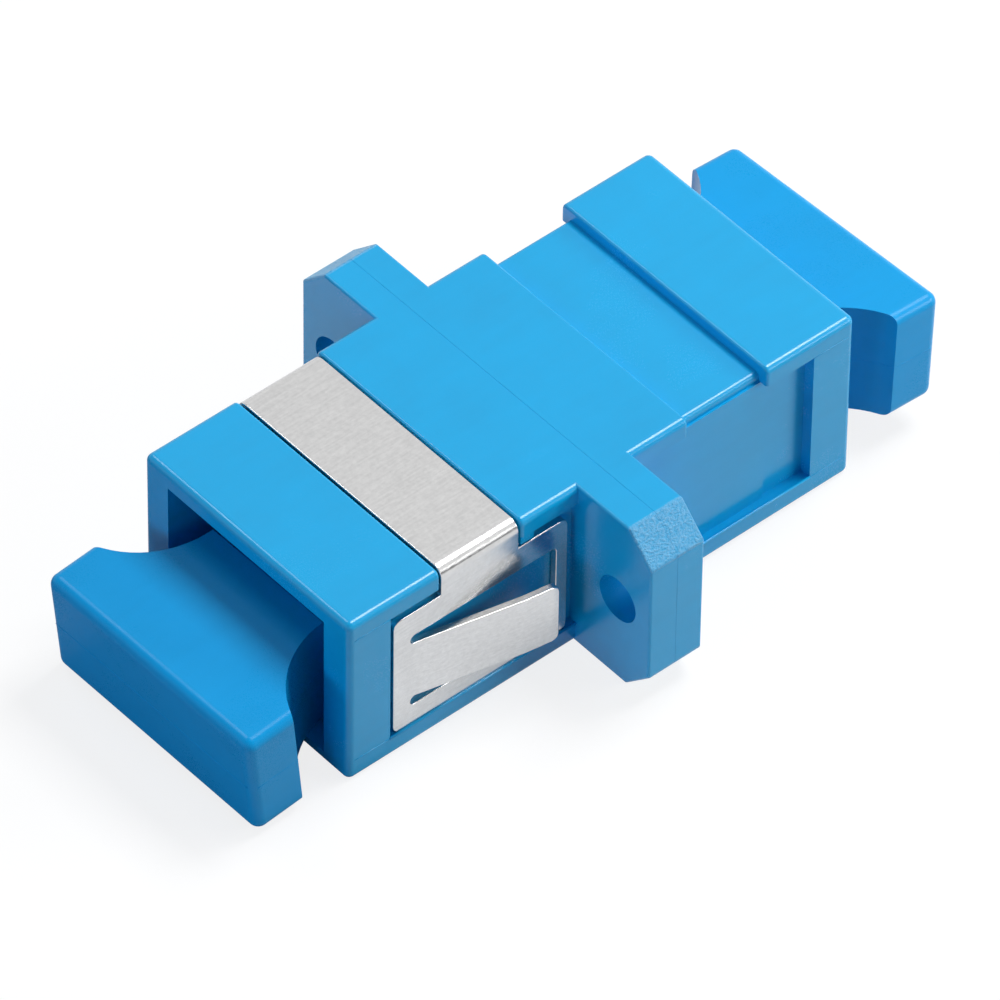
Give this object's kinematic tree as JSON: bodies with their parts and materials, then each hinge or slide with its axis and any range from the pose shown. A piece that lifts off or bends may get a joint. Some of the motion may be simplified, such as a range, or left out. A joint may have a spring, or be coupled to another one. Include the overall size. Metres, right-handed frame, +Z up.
{
  "type": "fibre optic adapter",
  "caption": "Flanged fibre-optic adapter: plastic housing with a plug socket at each end, a spring-steel panel clip and pull-out dust caps.",
  "frame": {"origin": "on the optical axis, midway along the alignment sleeve, where the two housing halves meet", "axes": "+Y along the optical axis to the rear half, +X along the flange, +Z up, out of the face that the clip's band crosses"},
  "size_m": [0.022, 0.0379, 0.0092],
  "materials": {
    "housing": "satin to gloss moulded PBT",
    "insert": "moulded PBT",
    "sleeve": "ground zirconia",
    "clip": "rolled stainless spring steel",
    "cap": "moulded polypropylene"
  },
  "bodies": {
    "adapter": {"housing_front": "housing", "housing_rear": "housing", "latch_insert_front": "insert", "latch_insert_rear": "insert", "alignment_sleeve": "sleeve", "panel_clip": "clip"},
    "front_cap": {"dust_cap_front": "cap"},
    "rear_cap": {"dust_cap_rear": "cap"}
  },
  "joints": [
    {"name": "front_cap_pull", "type": "slide", "parent": "adapter", "child": "front_cap", "axis": [0, -1, 0], "range_m": [0, 0.02]},
    {"name": "rear_cap_pull", "type": "slide", "parent": "adapter", "child": "rear_cap", "axis": [0, 1, 0], "range_m": [0, 0.02]}
  ]
}
